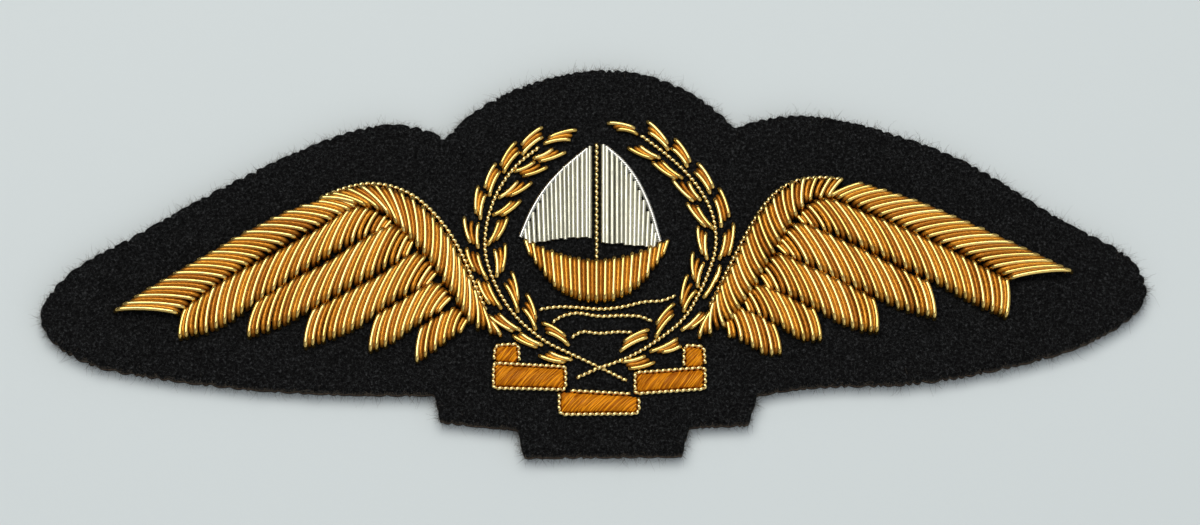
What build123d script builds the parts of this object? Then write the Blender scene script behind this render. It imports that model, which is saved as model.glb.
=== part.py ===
from build123d import *

import os
from math import hypot, radians, tan

# Embroidered pilot wings badge: cut metal purl, pearl purl and satin-stitched silk worked
# over felt padding on black wool felt, with buckram and a backing cloth behind it.
# Millimetres. +X runs along the wings, +Y is the top of the badge, +Z is out of its face.
# The origin is on the back face, under the middle of the felt. Wings, wreath and scroll are
# hand work, so the two sides are not mirror images and each has its own stations.

# ---- driving dimensions -------------------------------------------------------------------

CLOTH_LAYERS = {  # thicknesses, from the back, of the three layers cut out together
    "backing_cloth": 0.4,
    "buckram_interlining": 0.4,
    "felt_ground": 1.6,
}

SMOOTH_PURL = 0.60  # outer diameter of the bright coiled wire
CHECK_PURL = 0.58  # outer diameter of the faceted coiled wire
SILVER_PURL = 0.54
PEARL_PURL = 0.70  # beaded wire laid along edges and stems
FINE_PEARL = 0.55  # beaded wire of the waves
SAIL_TWIST = 0.50  # twisted wire round the sails

LEAF_SMOOTH = 0.52  # the leaves are worked in finer purl
LEAF_CHECK = 0.46
LEAF_RISE = 0.25
LEAF_BOW = 0.18

PAD_LAYERS = (  # share of the strip left open at each side, and top as a share of the rise
    (0.22, 0.50),
    (0.35, 0.78),
)
PAD_SIDE_POINTS = 7
FULL_RISE_LENGTH = 0.62  # chips at least this share of the longest one rise in full
CHIP_TRIM = (0.0, 0.0)  # how far chips stop inside the outer and inner edges of their strip
LEFT_SHOULDER_TRIM = (-0.36, 0.0)  # the shoulders' chips run out to the beaded wire
RIGHT_SHOULDER_TRIM = (-0.30, 0.15)

SATIN_HEIGHT = 0.95
SATIN_CROWN = 0.35
SATIN_CORNER = 0.45
BORDER_TO_SATIN = 0.06  # clear gap between the wire and the silk
BORDER_CORNER = 0.45
BORDER_GAP = 0.08  # the two ends of a border's wire nearly meet
FOOT = 0.45  # an open border wire starts and ends this far from the middle of the next block's wire
OPEN_CORNER = 0.70

FELT_TOP = sum(CLOTH_LAYERS.values())

# ---- felt outline -------------------------------------------------------------------------

NOTCH_LEFT = (-19.8, 16.9)
NOTCH_RIGHT = (18.7, 18.3)
STEP_LEFT = (-20.7, -18.0)
STEP_RIGHT = (21.2, -18.1)

DOME = [NOTCH_LEFT, (-13.0, 22.7), (-6.0, 25.5), (2.2, 26.6), (9.6, 25.0), (15.0, 21.9), NOTCH_RIGHT]
RIGHT_LOBE = [
    NOTCH_RIGHT,
    (25.5, 20.1),
    (38.0, 18.1),
    (51.0, 12.6),
    (64.0, 4.1),
    (70.8, -0.5),
    (72.1, -4.3),
    (67.3, -9.5),
    (55.4, -13.9),
    (40.0, -16.6),
    (28.0, -17.0),
    STEP_RIGHT,
]
STEPS = [
    STEP_RIGHT,
    (19.9, -22.0),
    (12.3, -22.3),
    (11.3, -26.1),
    (-9.1, -26.3),
    (-9.9, -22.6),
    (-19.9, -21.6),
    STEP_LEFT,
]
LEFT_LOBE = [
    STEP_LEFT,
    (-32.0, -17.9),
    (-46.0, -17.1),
    (-59.0, -15.4),
    (-67.5, -13.0),
    (-72.1, -8.0),
    (-70.8, -4.2),
    (-62.1, 2.4),
    (-50.0, 9.6),
    (-38.0, 15.7),
    (-27.0, 18.9),
    NOTCH_LEFT,
]

# ---- stations of the purl strips: ends of a chip on the outer and on the inner edge ---------
# Stations are evenly spaced along a strip, and the chips between them are worked out.

LEFT_WING = {
    "leading_feather": dict(chips=35, rise=1.00, bow=0.35, rows=[
        ((-61.9, -7.2), (-54.2, -7.6)),
        ((-58.2, -4.6), (-50.9, -4.9)),
        ((-53.5, -1.7), (-47.2, -2.2)),
        ((-49.4, 0.9), (-43.1, 0.3)),
        ((-45.1, 3.5), (-38.8, 3.0)),
        ((-40.1, 6.1), (-34.4, 5.3)),
        ((-34.6, 8.0), (-31.6, 7.0)),
    ]),
    "feather_2": dict(chips=41, rise=0.95, bow=-0.35, trim=(0.0, 0.14), rows=[
        ((-52.9, -7.2), (-53.5, -10.7)),
        ((-47.9, -3.2), (-48.9, -9.5)),
        ((-42.5, -0.1), (-44.5, -6.6)),
        ((-36.2, 3.6), (-38.8, -2.5)),
        ((-30.9, 6.7), (-33.2, 1.2)),
        ((-26.8, 4.9), (-27.4, 4.1)),
    ]),
    "feather_3": dict(chips=31, rise=0.95, bow=-0.35, trim=(0.0, 0.16), rows=[
        ((-43.4, -6.1), (-44.6, -10.6)),
        ((-39.0, -3.1), (-40.8, -9.3)),
        ((-34.7, -0.8), (-37.3, -7.4)),
        ((-30.4, 2.1), (-33.2, -4.9)),
        ((-26.4, 4.2), (-29.0, -2.5)),
        ((-23.8, 2.0), (-24.5, 0.3)),
    ]),
    "feather_4": dict(chips=25, rise=0.90, bow=-0.35, rows=[
        ((-36.1, -7.2), (-37.2, -11.8)),
        ((-31.9, -4.8), (-33.6, -10.6)),
        ((-27.8, -2.6), (-30.1, -8.9)),
        ((-23.1, 0.5), (-26.1, -5.8)),
        ((-20.8, -2.3), (-21.7, -3.5)),
    ]),
    "feather_5": dict(chips=17, rise=0.80, bow=-0.30, rows=[
        ((-27.8, -7.9), (-28.8, -12.2)),
        ((-24.7, -5.8), (-26.2, -11.3)),
        ((-20.7, -3.6), (-23.4, -9.2)),
        ((-18.8, -5.6), (-20.1, -7.1)),
    ]),
    "feather_6": dict(chips=11, rise=0.70, bow=-0.25, rows=[
        ((-22.2, -9.5), (-22.8, -13.7)),
        ((-20.0, -7.9), (-20.9, -12.5)),
        ((-17.9, -7.1), (-19.0, -10.9)),
        ((-16.6, -8.6), (-17.2, -9.7)),
    ]),
    "shoulder": dict(chips=37, rise=1.05, bow=0.30, trim=LEFT_SHOULDER_TRIM, rows=[
        ((-35.2, 7.9), (-31.7, 7.4)),
        ((-31.0, 9.1), (-27.7, 6.4)),
        ((-26.7, 8.9), (-24.9, 3.7)),
        ((-22.9, 6.6), (-22.5, 1.1)),
        ((-19.9, 3.3), (-20.2, -2.0)),
        ((-17.9, -0.3), (-17.9, -5.5)),
        ((-16.1, -4.2), (-15.9, -8.6)),
        ((-13.8, -8.4), (-12.4, -10.2)),
    ]),
}

RIGHT_WING = {
    "leading_feather": dict(chips=33, rise=1.00, bow=-0.35, rows=[
        ((61.9, -1.9), (54.3, -2.9)),
        ((56.3, 1.0), (48.6, 0.4)),
        ((49.0, 4.6), (42.0, 3.5)),
        ((42.2, 7.6), (36.0, 6.4)),
        ((35.0, 10.0), (31.4, 8.5)),
    ]),
    "feather_2": dict(chips=41, rise=0.95, bow=0.35, trim=(0.0, 0.16), rows=[
        ((53.5, -3.2), (53.3, -7.9)),
        ((47.8, 0.1), (49.3, -6.1)),
        ((42.0, 3.1), (44.7, -3.6)),
        ((36.2, 5.6), (39.2, -0.7)),
        ((30.1, 7.9), (33.5, 2.3)),
        ((26.9, 5.5), (27.4, 4.9)),
    ]),
    "feather_3": dict(chips=29, rise=0.95, bow=0.35, trim=(0.0, 0.34), rows=[
        ((43.1, -3.4), (44.1, -8.2)),
        ((37.5, -0.5), (40.1, -7.1)),
        ((32.2, 2.3), (35.5, -4.9)),
        ((26.6, 4.5), (30.4, -2.4)),
        ((24.1, 1.5), (25.1, 0.5)),
    ]),
    "feather_4": dict(chips=23, rise=0.90, bow=0.35, trim=(0.15, 0.0), rows=[
        ((36.0, -5.6), (36.5, -9.8)),
        ((31.8, -3.1), (33.7, -9.4)),
        ((27.8, -1.2), (30.5, -7.9)),
        ((23.7, 0.4), (26.6, -5.6)),
        ((21.8, -2.5), (22.7, -4.0)),
    ]),
    "feather_5": dict(chips=15, rise=0.80, bow=0.30, rows=[
        ((28.2, -7.2), (29.1, -10.8)),
        ((24.6, -5.2), (26.6, -10.7)),
        ((21.3, -3.9), (23.6, -8.8)),
        ((19.6, -5.9), (20.1, -7.1)),
    ]),
    "feather_6": dict(chips=11, rise=0.70, bow=0.25, rows=[
        ((23.0, -9.1), (23.9, -12.7)),
        ((20.8, -7.8), (22.0, -12.7)),
        ((18.7, -7.2), (20.0, -11.5)),
        ((17.3, -8.9), (17.5, -10.3)),
    ]),
    "shoulder": dict(chips=37, rise=1.05, bow=-0.30, trim=RIGHT_SHOULDER_TRIM, rows=[
        ((32.2, 10.2), (30.9, 8.5)),
        ((28.7, 10.3), (28.1, 7.9)),
        ((25.5, 9.1), (26.0, 5.4)),
        ((22.9, 6.8), (24.4, 2.6)),
        ((20.9, 3.8), (22.5, -0.6)),
        ((19.3, 0.6), (20.9, -3.5)),
        ((17.8, -2.4), (19.2, -6.2)),
        ((16.3, -5.3), (17.1, -8.8)),
        ((15.0, -8.0), (13.8, -10.5)),
    ]),
}

WING_EDGES = {  # beaded wire along the outer edge of each shoulder
    "left": [
        (-36.2, 8.2),
        (-33.0, 9.7),
        (-29.8, 10.4),
        (-26.6, 10.0),
        (-23.6, 8.6),
        (-21.0, 6.2),
        (-18.9, 3.5),
        (-17.1, 0.2),
        (-15.7, -3.4),
        (-14.1, -7.1),
    ],
    "right": [
        (32.4, 10.9),
        (29.7, 11.2),
        (26.6, 10.8),
        (24.1, 9.4),
        (22.0, 7.0),
        (20.0, 3.6),
        (17.9, -0.6),
        (15.9, -4.7),
        (15.0, -6.6),
    ],
}

# ---- wreath: stems, and leaves, each two bright chips from foot to tip with a check chip between

WREATH_STEMS = {
    "left": [
        (-7.3, 15.4),
        (-10.3, 13.0),
        (-12.8, 9.4),
        (-14.2, 5.0),
        (-14.4, 0.6),
        (-12.9, -3.8),
        (-10.3, -8.0),
        (-6.4, -11.3),
        (-2.8, -13.0),
        (0.9, -14.8),
        (4.2, -16.5),
    ],
    "right": [
        (6.1, 17.1),
        (9.8, 14.2),
        (13.3, 10.6),
        (15.6, 6.4),
        (16.1, 1.6),
        (14.4, -3.4),
        (11.8, -8.2),
        (8.2, -11.1),
        (5.2, -13.0),
        (2.6, -14.1),
        (0.9, -14.8, PEARL_PURL),
        (-0.7, -15.4),
        (-2.3, -16.1),
    ],
}
WREATH_LEAVES = {
    "left_outer": [
        (((-5.7, 16.8), (-2.7, 17.7)), ((-6.4, 15.9), (-3.5, 16.4))),
        (((-9.4, 15.9), (-7.1, 18.0)), ((-9.3, 14.6), (-7.1, 16.6))),
        (((-12.2, 13.1), (-10.5, 15.9)), ((-11.8, 12.1), (-10.1, 14.5))),
        (((-14.3, 10.0), (-13.1, 12.9)), ((-13.7, 8.9), (-12.6, 11.7))),
        (((-15.5, 6.5), (-15.3, 9.7)), ((-14.9, 5.7), (-14.4, 8.5))),
        (((-16.3, 2.5), (-17.0, 5.4)), ((-15.2, 1.7), (-15.2, 4.6))),
        (((-15.7, -1.4), (-16.6, 1.2)), ((-14.1, -2.6), (-15.2, 0.4))),
        (((-13.7, -5.9), (-15.1, -3.1)), ((-12.2, -6.6), (-13.8, -3.5))),
        (((-10.8, -9.7), (-13.5, -7.9)), ((-9.8, -9.6), (-12.2, -7.7))),
        (((-7.7, -11.9), (-10.3, -10.6)), ((-7.0, -11.6), (-9.3, -10.3))),
        (((-4.1, -13.95), (-6.9, -13.2)), ((-3.2, -13.6), (-5.5, -12.8))),
    ],
    "left_inner": [
        (((-7.8, 13.9), (-5.7, 15.0)), ((-7.0, 13.5), (-4.1, 14.6))),
        (((-10.3, 12.1), (-8.1, 13.2)), ((-9.1, 11.5), (-6.5, 12.5))),
        (((-12.3, 8.5), (-10.3, 10.4)), ((-10.8, 8.8), (-8.5, 10.3))),
        (((-13.0, 6.1), (-11.1, 7.6)), ((-11.9, 6.1), (-9.9, 7.8))),
        (((-13.8, 2.1), (-12.6, 4.9)), ((-12.7, 2.8), (-11.5, 5.4))),
        (((-12.7, -2.2), (-13.0, 0.9)), ((-12.0, -1.4), (-11.7, 1.7))),
        (((-10.0, -7.0), (-11.5, -3.7)), ((-10.0, -5.4), (-10.7, -2.1))),
        (((-7.7, -9.4), (-9.1, -7.0)), ((-7.7, -7.9), (-8.7, -5.1))),
        (((-4.0, -10.4), (-6.5, -8.9)), ((-3.5, -11.6), (-5.9, -10.1))),
    ],
    "right_outer": [
        (((5.0, 18.1), (2.1, 18.7)), ((5.4, 17.3), (3.3, 17.8))),
        (((9.5, 16.1), (7.2, 18.8)), ((9.6, 15.2), (7.4, 17.3))),
        (((12.5, 13.6), (10.8, 16.3)), ((12.1, 12.9), (10.4, 15.0))),
        (((15.5, 10.0), (13.8, 12.9)), ((15.1, 9.2), (13.4, 11.7))),
        (((17.6, 6.0), (16.5, 9.4)), ((16.6, 4.6), (15.9, 7.9))),
        (((17.6, 0.8), (18.2, 4.5)), ((16.4, 0.1), (17.1, 3.2))),
        (((15.6, -3.2), (16.3, -1.2)), ((14.4, -5.1), (16.0, -2.1))),
        (((12.7, -9.3), (14.8, -7.4)), ((11.5, -9.6), (13.7, -7.5))),
        (((9.0, -12.6), (11.0, -11.9)), ((7.5, -12.5), (10.5, -11.0))),
        (((4.8, -14.8), (7.5, -14.1)), ((3.9, -13.9), (6.3, -13.3))),
    ],
    "right_inner": [
        (((8.4, 14.0), (6.2, 15.4)), ((7.4, 13.9), (4.7, 15.2))),
        (((11.4, 11.2), (9.1, 13.2)), ((10.4, 11.2), (7.9, 13.1))),
        (((13.8, 8.2), (12.5, 10.3)), ((12.8, 8.1), (10.5, 10.6))),
        (((15.4, 4.3), (13.6, 7.0)), ((14.4, 4.6), (12.3, 7.4))),
        (((14.7, 0.2), (14.6, 3.2)), ((14.1, 0.9), (13.6, 4.2))),
        (((13.5, -3.6), (14.2, -0.9)), ((13.0, -2.5), (12.9, 0.6))),
        (((11.7, -7.0), (13.1, -4.6)), ((11.4, -5.8), (12.1, -2.5))),
        (((8.1, -10.5), (10.1, -7.8)), ((8.3, -8.7), (10.2, -6.4))),
        (((3.6, -12.4), (6.6, -10.8)), ((4.1, -11.2), (6.8, -9.8))),
    ],
}

# ---- boat, waves and scroll -----------------------------------------------------------------

MAST_X = 0.3
MAST_TOP = 16.0
MAST_FOOT = -0.1

HULL = dict(chips=33, rise=0.90, bow=0.0, rows=[
    ((MAST_X - 9.2, 2.1), (MAST_X - 8.8, 0.9)),
    ((MAST_X - 6.2, 0.8), (MAST_X - 5.8, -3.3)),
    ((MAST_X - 3.1, -0.1), (MAST_X - 2.9, -5.1)),
    ((MAST_X, -0.5), (MAST_X, -5.6)),
    ((MAST_X + 3.1, -0.1), (MAST_X + 2.9, -5.1)),
    ((MAST_X + 6.2, 0.8), (MAST_X + 5.8, -3.3)),
    ((MAST_X + 9.2, 2.1), (MAST_X + 8.8, 0.9)),
])
JIB = dict(chips=16, rise=0.20, bow=0.0, rows=[
    ((MAST_X - 9.3, 3.6), (MAST_X - 9.2, 2.6)),
    ((MAST_X - 7.2, 7.9), (MAST_X - 7.0, 2.9)),
    ((MAST_X - 5.1, 11.0), (MAST_X - 4.9, 3.2)),
    ((MAST_X - 3.0, 13.2), (MAST_X - 2.9, 3.4)),
    ((MAST_X - 0.9, 14.8), (MAST_X - 0.9, 3.5)),
])
MAINSAIL = dict(chips=13, rise=0.20, bow=0.0, rows=[
    ((MAST_X + 0.9, 15.2), (MAST_X + 0.9, 2.7)),
    ((MAST_X + 2.7, 13.6), (MAST_X + 2.7, 2.6)),
    ((MAST_X + 4.5, 11.1), (MAST_X + 4.4, 2.4)),
    ((MAST_X + 6.2, 7.5), (MAST_X + 6.0, 2.2)),
    ((MAST_X + 7.7, 2.9), (MAST_X + 7.6, 2.0)),
])
SAIL_EDGES = [
    [(-9.7, 2.9), (-8.3, 6.6), (-6.4, 9.8), (-3.9, 12.6), (-0.9, 15.2)],
    [(1.5, 15.5), (3.9, 13.4), (5.8, 10.6), (7.4, 6.9), (8.6, 2.3)],
]

WAVES = {
    "wave_1": [
        (-7.2, -6.9),
        (-4.8, -6.5),
        (-2.2, -6.6),
        (0.8, -6.9),
        (3.6, -6.6),
        (6.6, -5.8),
        (8.8, -5.8),
        (10.6, -5.0),
    ],
    "wave_2": [(-5.5, -8.7), (-4.3, -7.8), (-2.2, -7.3), (0.6, -7.9), (3.4, -7.7), (6.0, -7.8), (7.5, -8.5)],
    "wave_3": [(-3.0, -10.7), (-1.6, -9.8), (0.6, -10.2), (2.8, -9.9), (4.9, -10.0)],
}

SCROLL_BLOCKS = {  # corners of the beaded border, anticlockwise from the lower left
    "left_bar": [(-13.0, -17.45), (-3.7, -17.65), (-3.7, -14.62), (-13.0, -14.1)],
    "left_upright": [(-13.0, -14.1), (-9.7, -14.26), (-9.8, -11.55), (-12.8, -11.75)],
    "centre_bar": [(-4.5, -20.95), (5.75, -20.85), (5.75, -18.3), (-4.5, -17.7)],
    "right_bar": [(5.25, -18.2), (14.3, -17.55), (14.3, -14.7), (5.25, -15.4)],
    "right_upright": [(11.55, -14.91), (14.3, -14.7), (14.2, -11.9), (11.65, -11.7)],
}
CENTRE_TOP = [(-3.1, -17.78), (4.65, -18.23)]


# ---- helpers ----------------------------------------------------------------------------------


def between(rows, t):
    """The chip at t, from 0 to 1, on a smooth curve through evenly spaced stations."""
    spans = len(rows) - 1
    i = min(int(t * spans), spans - 1)
    u = t * spans - i
    before = rows[max(i - 1, 0)]
    after = rows[min(i + 2, spans)]
    chip_ends = []
    for side in (0, 1):
        place = []
        for axis in (0, 1):
            a, b, c, d = (row[side][axis] for row in (before, rows[i], rows[i + 1], after))
            curve = 2 * b + (c - a) * u
            curve += (2 * a - 5 * b + 4 * c - d) * u**2
            curve += (3 * b - a - 3 * c + d) * u**3
            place.append(curve / 2)
        chip_ends.append(tuple(place))
    return chip_ends


def length(ends):
    (x0, y0), (x1, y1) = ends
    return hypot(x1 - x0, y1 - y0)


def part_way(ends, share):
    (x0, y0), (x1, y1) = ends
    return (x0 + (x1 - x0) * share, y0 + (y1 - y0) * share)


def sweep_round(path, diameter):
    start = Plane(origin=path @ 0, z_dir=path % 0)
    return sweep(start * Circle(diameter / 2), path=path)


def purl_chip(ends, rise, bow, diameter):
    """A cut piece of purl: an arc with its ends on the felt, its middle raised and bowed."""
    (x0, y0), (x1, y1) = ends
    span = length(ends)
    middle_x, middle_y = part_way(ends, 0.5)
    middle_x -= bow * (y1 - y0) / span
    middle_y += bow * (x1 - x0) / span
    z = FELT_TOP + diameter / 2
    path = ThreePointArc((x0, y0, z), (middle_x, middle_y, z + rise), (x1, y1, z))
    return sweep_round(path, diameter)


def full_rise_length(strip):
    steps = strip["chips"] - 1
    return FULL_RISE_LENGTH * max(length(between(strip["rows"], i / steps)) for i in range(steps + 1))


def purl_strip(strip, diameters=(SMOOTH_PURL, CHECK_PURL)):
    """Chips laid side by side across a strip, smooth and check purl in turn."""
    chips = []
    enough = full_rise_length(strip)
    for i in range(strip["chips"]):
        ends = between(strip["rows"], i / (strip["chips"] - 1))
        share = min(1.0, length(ends) / enough)
        outer, inner = (trim / length(ends) for trim in strip.get("trim", CHIP_TRIM))
        ends = (part_way(ends, outer), part_way(ends, 1 - inner))
        diameter = diameters[i % len(diameters)]
        chips.append(purl_chip(ends, strip["rise"] * share, strip["bow"] * share**2, diameter))
    return Compound(chips)


def padding(strip):
    """Two layers of felt under a strip, the upper one narrower, wherever the chips are long."""
    steps = 60
    enough = full_rise_length(strip)
    long_enough = [i / steps for i in range(steps + 1) if length(between(strip["rows"], i / steps)) >= enough]
    first, last = long_enough[0], long_enough[-1]
    layers = []
    bottom = FELT_TOP
    for inset, height_share in PAD_LAYERS:
        top = FELT_TOP + strip["rise"] * height_share
        sides = ([], [])
        for i in range(PAD_SIDE_POINTS):
            t = first + (last - first) * (inset / 4 + (1 - inset / 2) * i / (PAD_SIDE_POINTS - 1))
            ends = between(strip["rows"], t)
            sides[0].append(part_way(ends, inset))
            sides[1].append(part_way(ends, 1 - inset))
        outline = [
            Spline(*sides[0]),
            Line(sides[0][-1], sides[1][-1]),
            Spline(*sides[1]),
            Line(sides[0][0], sides[1][0]),
        ]
        layers.append(Pos(0, 0, bottom) * extrude(make_face(outline), amount=top - bottom))
        bottom = top
    return Compound(layers)


def laid_wire(points, diameter):
    """Beaded or twisted wire on the felt, straight runs joined by arcs; a point may have a lift."""
    z = FELT_TOP + diameter / 2
    places = [Vector(x, y, z + sum(lift)) for x, y, *lift in points]
    radii = []
    for before, corner, after in zip(places, places[1:], places[2:]):
        shorter = min((corner - before).length, (after - corner).length)
        turn = (corner - before).get_angle(after - corner)
        radii.append(0.45 * shorter / tan(radians(turn) / 2))
    return sweep_round(FilletPolyline(*places, radius=radii), diameter)


def straight_wire(start, end, diameter):
    z = FELT_TOP + diameter / 2
    return sweep_round(Line((*start, z), (*end, z)), diameter)


def border_loop(corners):
    """Beaded wire all round a block, its two ends nearly meeting on the lower side."""
    z = FELT_TOP + PEARL_PURL / 2
    (x0, y0), (x1, y1) = corners[0], corners[1]
    middle = ((x0 + x1) / 2, (y0 + y1) / 2)
    end = (middle[0] - BORDER_GAP, middle[1])
    places = [(x, y, z) for x, y in (middle, *corners[1:], corners[0], end)]
    return sweep_round(FilletPolyline(*places, radius=BORDER_CORNER), PEARL_PURL)


def border_open(foot_1, corner_1, corner_2, foot_2, away):
    """Beaded wire round three sides of a block; its feet stop short of the next block, on the away side."""
    z = FELT_TOP + PEARL_PURL / 2
    ends = [(x, y + away * FOOT) for x, y in (foot_1, foot_2)]
    places = [(x, y, z) for x, y in (ends[0], corner_1, corner_2, ends[1])]
    return sweep_round(FilletPolyline(*places, radius=OPEN_CORNER), PEARL_PURL)


def satin_block(corners):
    """Silk worked in satin stitch over padding: a flat block with a rounded top."""
    face = offset(make_face(Polyline(*corners, close=True)), amount=-BORDER_TO_SATIN - PEARL_PURL / 2)
    block = Pos(0, 0, FELT_TOP) * extrude(face, amount=SATIN_HEIGHT)
    block = fillet(block.edges().filter_by(Axis.Z), SATIN_CORNER)
    return fillet(block.edges().group_by(Axis.Z)[-1], SATIN_CROWN)


def leaf(first, second, bow):
    """Two smooth chips, one further along the stem, and a check chip between them."""
    middle = [((a[0] + b[0]) / 2, (a[1] + b[1]) / 2) for a, b in zip(first, second)]
    return [
        purl_chip(first, LEAF_RISE, bow, LEAF_SMOOTH),
        purl_chip(middle, LEAF_RISE, bow, LEAF_CHECK),
        purl_chip(second, LEAF_RISE, bow, LEAF_SMOOTH),
    ]


# ---- assembly -----------------------------------------------------------------------------------


def cloth_parts():
    outline = make_face([Spline(*DOME), Spline(*RIGHT_LOBE), Polyline(*STEPS), Spline(*LEFT_LOBE)])
    parts = {}
    bottom = 0
    for name, thickness in CLOTH_LAYERS.items():
        parts[name] = Pos(0, 0, bottom) * extrude(outline, amount=thickness)
        bottom += thickness
    return parts


def wing_parts():
    parts = {}
    for side, wing in (("left", LEFT_WING), ("right", RIGHT_WING)):
        for name, strip in wing.items():
            parts[f"{side}_{name}_purl"] = purl_strip(strip)
            parts[f"{side}_{name}_padding"] = padding(strip)
        parts[f"{side}_wing_edge"] = laid_wire(WING_EDGES[side], PEARL_PURL)
    return parts


def wreath_parts():
    parts = {}
    for side, points in WREATH_STEMS.items():
        parts[f"{side}_wreath_stem"] = laid_wire(points, PEARL_PURL)
    for name, leaves in WREATH_LEAVES.items():
        bow = LEAF_BOW if name in ("left_outer", "right_inner") else -LEAF_BOW
        chips = []
        for first, second in leaves:
            chips += leaf(first, second, bow)
        parts[f"{name}_leaves"] = Compound(chips)
    return parts


def boat_parts():
    return {
        "hull_purl": purl_strip(HULL),
        "hull_padding": padding(HULL),
        "mast": straight_wire((MAST_X, MAST_FOOT), (MAST_X, MAST_TOP), FINE_PEARL),
        "jib": purl_strip(JIB, (SILVER_PURL,)),
        "mainsail": purl_strip(MAINSAIL, (SILVER_PURL,)),
        "sail_edging": Compound([laid_wire(points, SAIL_TWIST) for points in SAIL_EDGES]),
    }


def sea_and_scroll_parts():
    parts = {name: laid_wire(points, FINE_PEARL) for name, points in WAVES.items()}
    for name, corners in SCROLL_BLOCKS.items():
        parts[f"scroll_{name}"] = satin_block(corners)
    for side in ("left", "right"):
        foot_1, foot_2, top_2, top_1 = SCROLL_BLOCKS[f"{side}_upright"]
        over = border_open(foot_1, top_1, top_2, foot_2, 1)
        parts[f"{side}_scroll_border"] = Compound([border_loop(SCROLL_BLOCKS[f"{side}_bar"]), over])
    low_1, low_2, high_2, high_1 = SCROLL_BLOCKS["centre_bar"]
    under = border_open(high_1, low_1, low_2, high_2, -1)
    parts["centre_scroll_border"] = Compound([under, straight_wire(*CENTRE_TOP, PEARL_PURL)])
    return parts


badge = {**cloth_parts(), **wing_parts(), **wreath_parts(), **boat_parts(), **sea_and_scroll_parts()}
centre = badge["felt_ground"].bounding_box().center()

os.makedirs("parts", exist_ok=True)
for name, shape in badge.items():
    export_step(Pos(-centre.X, -centre.Y, 0) * shape, f"parts/{name}.step")
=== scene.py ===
import math

import bpy
import numpy as np
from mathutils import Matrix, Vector
from mathutils.geometry import delaunay_2d_cdt


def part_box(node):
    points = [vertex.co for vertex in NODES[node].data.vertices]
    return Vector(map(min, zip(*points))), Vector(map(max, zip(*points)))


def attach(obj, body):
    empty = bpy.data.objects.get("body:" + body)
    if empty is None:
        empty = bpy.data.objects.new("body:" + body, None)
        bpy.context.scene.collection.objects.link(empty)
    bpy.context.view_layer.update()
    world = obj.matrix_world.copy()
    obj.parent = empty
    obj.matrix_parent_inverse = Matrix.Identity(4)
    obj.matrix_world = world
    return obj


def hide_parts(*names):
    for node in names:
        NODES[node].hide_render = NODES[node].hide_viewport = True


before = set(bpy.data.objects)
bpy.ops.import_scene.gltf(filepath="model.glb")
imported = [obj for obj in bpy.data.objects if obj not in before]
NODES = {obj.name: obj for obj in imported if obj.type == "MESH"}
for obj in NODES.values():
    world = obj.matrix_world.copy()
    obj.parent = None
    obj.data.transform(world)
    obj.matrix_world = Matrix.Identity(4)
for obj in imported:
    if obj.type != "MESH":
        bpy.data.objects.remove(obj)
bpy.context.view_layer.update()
MM = 0.001

# ---------------------------------------------------------------- camera, light and floor

CAMERA_PLACE = (0.000749, -0.108869, 0.356581)
CAMERA_TILT = math.radians(17)

camera_data = bpy.data.cameras.new("camera")
camera_data.lens = 85
camera_data.sensor_width = 36
camera_data.sensor_fit = "HORIZONTAL"
camera_data.clip_start = 0.01
camera = bpy.data.objects.new("camera", camera_data)
bpy.context.scene.collection.objects.link(camera)
camera.location = CAMERA_PLACE
camera.rotation_euler = (CAMERA_TILT, 0, 0)
bpy.context.scene.camera = camera
bpy.context.scene.view_settings.view_transform = "Standard"
bpy.context.scene.view_settings.look = "None"


def area_light(name, direction, distance, width, height, power, color):
    """A soft rectangular light, in a given direction from the badge and turned to it."""
    data = bpy.data.lights.new(name, "AREA")
    data.shape = "RECTANGLE"
    data.size = width
    data.size_y = height
    data.energy = power
    data.color = color
    light = bpy.data.objects.new(name, data)
    bpy.context.scene.collection.objects.link(light)
    toward = Vector(direction).normalized()
    light.location = toward * distance
    light.rotation_mode = "QUATERNION"
    light.rotation_quaternion = (-toward).to_track_quat("-Z", "Y")


def studio(bright_side, dimmest, brightest):
    """A pale world that is brightest in one direction."""
    world = bpy.data.worlds.new("studio")
    bpy.context.scene.world = world
    world.use_nodes = True
    tree = world.node_tree
    coordinates = tree.nodes.new("ShaderNodeTexCoord")
    facing = tree.nodes.new("ShaderNodeVectorMath")
    facing.operation = "DOT_PRODUCT"
    facing.inputs[1].default_value = bright_side
    tree.links.new(coordinates.outputs["Generated"], facing.inputs[0])
    shade = tree.nodes.new("ShaderNodeMapRange")
    shade.inputs["From Min"].default_value = -0.7
    shade.inputs["From Max"].default_value = 0.9
    shade.inputs["To Min"].default_value = dimmest
    shade.inputs["To Max"].default_value = brightest
    tree.links.new(facing.outputs["Value"], shade.inputs["Value"])
    background = tree.nodes["Background"]
    tree.links.new(shade.outputs["Result"], background.inputs["Strength"])
    background.inputs["Color"].default_value = (0.88, 0.94, 1.0, 1.0)


# Each light's direction, distance, width, height, power and colour
area_light("key", (-0.10, 0.34, 0.94), 0.9, 0.85, 0.55, 6.0, (1.0, 0.985, 0.95))
area_light("front_fill", (0.50, -0.62, 0.60), 1.2, 0.8, 0.8, 1.2, (0.97, 0.98, 1.0))
studio((0.62, -0.68, 0.38), 0.08, 0.60)


# ---------------------------------------------------------------- materials

def material(name, color, roughness, metallic=0.0, sheen=0.0, specular=0.5):
    """A plain material, its node tree and its shader."""
    made = bpy.data.materials.new(name)
    made.use_nodes = True
    shader = made.node_tree.nodes["Principled BSDF"]
    shader.inputs["Base Color"].default_value = (*color, 1.0)
    shader.inputs["Roughness"].default_value = roughness
    shader.inputs["Metallic"].default_value = metallic
    shader.inputs["Sheen Weight"].default_value = sheen
    shader.inputs["Specular IOR Level"].default_value = specular
    return made, made.node_tree, shader


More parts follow.
